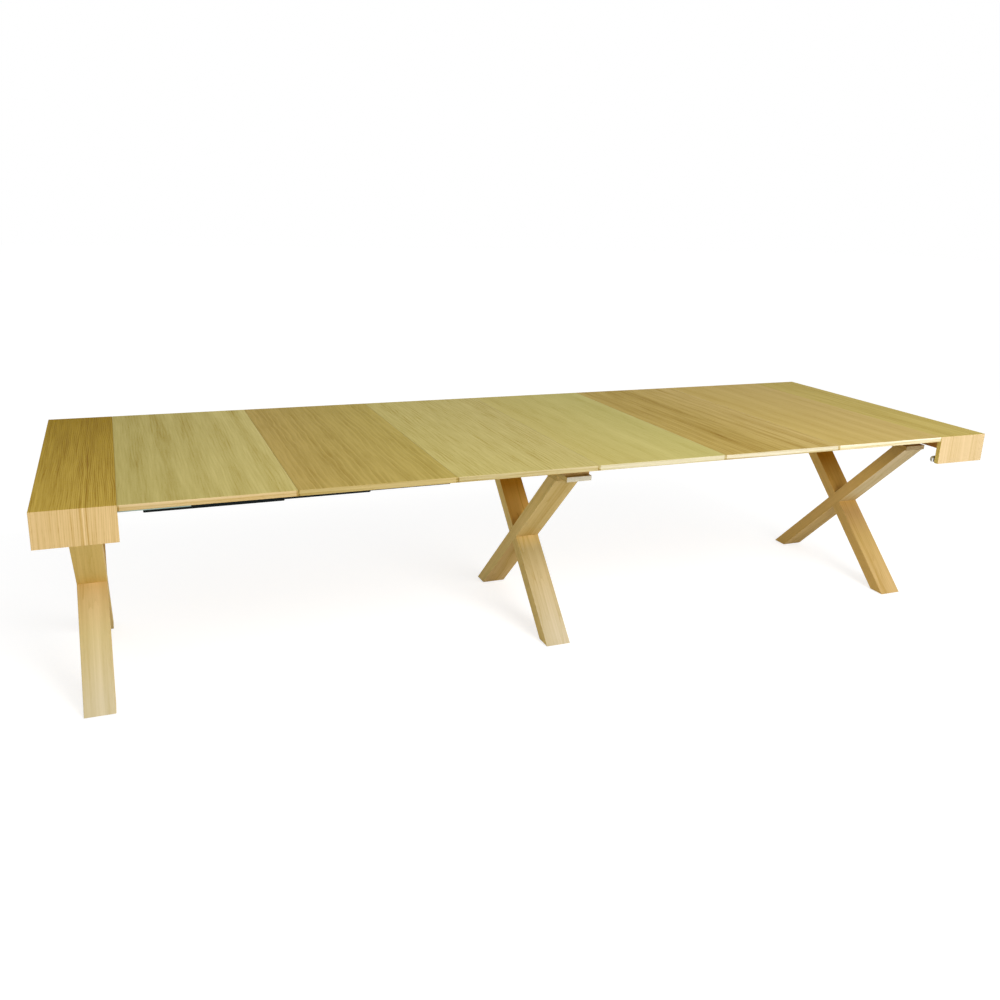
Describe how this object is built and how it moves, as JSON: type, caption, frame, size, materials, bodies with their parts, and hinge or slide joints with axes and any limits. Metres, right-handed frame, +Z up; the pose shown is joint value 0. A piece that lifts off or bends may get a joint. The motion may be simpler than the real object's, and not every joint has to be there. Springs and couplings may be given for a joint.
{
  "type": "extending console dining table",
  "caption": "Extending console table: two end blocks drawn apart on telescopic slides, loose oak leaves laid between them, on crossed leg frames.",
  "frame": {"origin": "on the floor under the middle of the drawn-out table", "axes": "+X along the table towards its right end, +Y from front to back, +Z up"},
  "size_m": [3.45, 1.15, 0.76],
  "materials": {
    "left_block_veneer": "satin lacquered oak",
    "leaf_1_veneer": "satin lacquered oak",
    "leaf_2_veneer": "satin lacquered oak",
    "leaf_3_veneer": "satin lacquered oak",
    "leaf_4_veneer": "satin lacquered oak",
    "leaf_5_veneer": "satin lacquered oak",
    "leaf_6_veneer": "satin lacquered oak",
    "right_block_veneer": "satin lacquered oak",
    "leg_oak": "satin lacquered oak",
    "inner_beech": "plain planed beech",
    "bright_aluminium": "natural anodised extrusion",
    "dark_aluminium": "dark anodised extrusion",
    "zinc_steel": "zinc plated",
    "black_nylon": "moulded nylon"
  },
  "bodies": {
    "centre_frame": {"centre_leg_front_bar": "leg_oak", "centre_leg_back_bar": "leg_oak", "centre_foot_pads": "black_nylon", "centre_cap": "leg_oak", "centre_rail": "leg_oak", "centre_saddles": "inner_beech", "centre_screws": "zinc_steel"},
    "left_end": {"left_leg_front_bar": "leg_oak", "left_leg_back_bar": "leg_oak", "left_foot_pads": "black_nylon", "left_cap": "leg_oak", "left_bearer": "inner_beech", "left_top": "left_block_veneer", "left_end_apron": "left_block_veneer", "left_front_apron": "left_block_veneer", "left_back_apron": "left_block_veneer", "left_glue_blocks": "inner_beech", "left_runners": "bright_aluminium", "left_screws": "zinc_steel", "left_catch_keepers": "zinc_steel"},
    "right_end": {"right_leg_front_bar": "leg_oak", "right_leg_back_bar": "leg_oak", "right_foot_pads": "black_nylon", "right_cap": "leg_oak", "right_bearer": "inner_beech", "right_top": "right_block_veneer", "right_end_apron": "right_block_veneer", "right_front_apron": "right_block_veneer", "right_back_apron": "right_block_veneer", "right_glue_blocks": "inner_beech", "right_runners": "bright_aluminium", "right_screws": "zinc_steel", "right_catch_plates": "zinc_steel"},
    "left_slide_stage_1": {"left_stage_1": "dark_aluminium"},
    "left_slide_stage_2": {"left_stage_2": "dark_aluminium"},
    "left_slide_stage_3": {"left_stage_3": "dark_aluminium"},
    "left_slide_stage_4": {"left_stage_4": "dark_aluminium"},
    "left_slide_stage_5": {"left_stage_5": "dark_aluminium"},
    "right_slide_stage_1": {"right_stage_1": "dark_aluminium"},
    "right_slide_stage_2": {"right_stage_2": "dark_aluminium"},
    "right_slide_stage_3": {"right_stage_3": "dark_aluminium"},
    "right_slide_stage_4": {"right_stage_4": "dark_aluminium"},
    "right_slide_stage_5": {"right_stage_5": "dark_aluminium"},
    "leaf_1_board": {"leaf_1": "leaf_1_veneer", "leaf_1_locators": "inner_beech"},
    "leaf_2_board": {"leaf_2": "leaf_2_veneer", "leaf_2_locators": "inner_beech"},
    "leaf_3_board": {"leaf_3": "leaf_3_veneer", "leaf_3_locators": "inner_beech"},
    "leaf_4_board": {"leaf_4": "leaf_4_veneer", "leaf_4_locators": "inner_beech"},
    "leaf_5_board": {"leaf_5": "leaf_5_veneer", "leaf_5_locators": "inner_beech"},
    "leaf_6_board": {"leaf_6": "leaf_6_veneer", "leaf_6_locators": "inner_beech"},
    "front_hook": {"front_catch_hook": "zinc_steel"},
    "back_hook": {"back_catch_hook": "zinc_steel"}
  },
  "joints": [
    {"name": "left_end_close", "type": "slide", "parent": "centre_frame", "child": "left_end", "axis": [1, 0, 0], "range_m": [0, 1.5]},
    {"name": "left_stage_1_close", "type": "slide", "parent": "centre_frame", "child": "left_slide_stage_1", "axis": [1, 0, 0], "range_m": [0, 1.22727]},
    {"name": "left_stage_2_close", "type": "slide", "parent": "centre_frame", "child": "left_slide_stage_2", "axis": [1, 0, 0], "range_m": [0, 0.95455]},
    {"name": "left_stage_3_close", "type": "slide", "parent": "centre_frame", "child": "left_slide_stage_3", "axis": [1, 0, 0], "range_m": [0, 0.68182]},
    {"name": "left_stage_4_close", "type": "slide", "parent": "centre_frame", "child": "left_slide_stage_4", "axis": [1, 0, 0], "range_m": [0, 0.40909]},
    {"name": "left_stage_5_close", "type": "slide", "parent": "centre_frame", "child": "left_slide_stage_5", "axis": [1, 0, 0], "range_m": [0, 0.13636]},
    {"name": "leaf_1_lift", "type": "slide", "parent": "centre_frame", "child": "leaf_1_board", "axis": [0, 0, 1], "range_m": [0, 0.6]},
    {"name": "leaf_2_lift", "type": "slide", "parent": "centre_frame", "child": "leaf_2_board", "axis": [0, 0, 1], "range_m": [0, 0.6]},
    {"name": "leaf_3_lift", "type": "slide", "parent": "centre_frame", "child": "leaf_3_board", "axis": [0, 0, 1], "range_m": [0, 0.6]},
    {"name": "right_end_close", "type": "slide", "parent": "centre_frame", "child": "right_end", "axis": [-1, 0, 0], "range_m": [0, 1.5]},
    {"name": "right_stage_1_close", "type": "slide", "parent": "centre_frame", "child": "right_slide_stage_1", "axis": [-1, 0, 0], "range_m": [0, 1.22727]},
    {"name": "right_stage_2_close", "type": "slide", "parent": "centre_frame", "child": "right_slide_stage_2", "axis": [-1, 0, 0], "range_m": [0, 0.95455]},
    {"name": "right_stage_3_close", "type": "slide", "parent": "centre_frame", "child": "right_slide_stage_3", "axis": [-1, 0, 0], "range_m": [0, 0.68182]},
    {"name": "right_stage_4_close", "type": "slide", "parent": "centre_frame", "child": "right_slide_stage_4", "axis": [-1, 0, 0], "range_m": [0, 0.40909]},
    {"name": "right_stage_5_close", "type": "slide", "parent": "centre_frame", "child": "right_slide_stage_5", "axis": [-1, 0, 0], "range_m": [0, 0.13636]},
    {"name": "leaf_4_lift", "type": "slide", "parent": "centre_frame", "child": "leaf_4_board", "axis": [0, 0, 1], "range_m": [0, 0.6]},
    {"name": "leaf_5_lift", "type": "slide", "parent": "centre_frame", "child": "leaf_5_board", "axis": [0, 0, 1], "range_m": [0, 0.6]},
    {"name": "leaf_6_lift", "type": "slide", "parent": "centre_frame", "child": "leaf_6_board", "axis": [0, 0, 1], "range_m": [0, 0.6]},
    {"name": "front_hook_lift", "type": "hinge", "parent": "right_end", "child": "front_hook", "pos_m": [1.542, -0.557, 0.668], "axis": [0, 1, 0], "range_deg": [0, 80]},
    {"name": "back_hook_lift", "type": "hinge", "parent": "right_end", "child": "back_hook", "pos_m": [1.542, 0.557, 0.668], "axis": [0, 1, 0], "range_deg": [0, 80]}
  ],
  "couplings": [
    {"joint": "left_stage_1_close", "follows": "left_end_close", "ratio": 0.81818},
    {"joint": "left_stage_2_close", "follows": "left_end_close", "ratio": 0.63636},
    {"joint": "left_stage_3_close", "follows": "left_end_close", "ratio": 0.45455},
    {"joint": "left_stage_4_close", "follows": "left_end_close", "ratio": 0.27273},
    {"joint": "left_stage_5_close", "follows": "left_end_close", "ratio": 0.090909},
    {"joint": "leaf_1_lift", "follows": "left_end_close", "ratio": 0.4},
    {"joint": "leaf_2_lift", "follows": "left_end_close", "ratio": 0.4},
    {"joint": "leaf_3_lift", "follows": "left_end_close", "ratio": 0.4},
    {"joint": "right_stage_1_close", "follows": "right_end_close", "ratio": 0.81818},
    {"joint": "right_stage_2_close", "follows": "right_end_close", "ratio": 0.63636},
    {"joint": "right_stage_3_close", "follows": "right_end_close", "ratio": 0.45455},
    {"joint": "right_stage_4_close", "follows": "right_end_close", "ratio": 0.27273},
    {"joint": "right_stage_5_close", "follows": "right_end_close", "ratio": 0.090909},
    {"joint": "leaf_4_lift", "follows": "right_end_close", "ratio": 0.4},
    {"joint": "leaf_5_lift", "follows": "right_end_close", "ratio": 0.4},
    {"joint": "leaf_6_lift", "follows": "right_end_close", "ratio": 0.4}
  ]
}
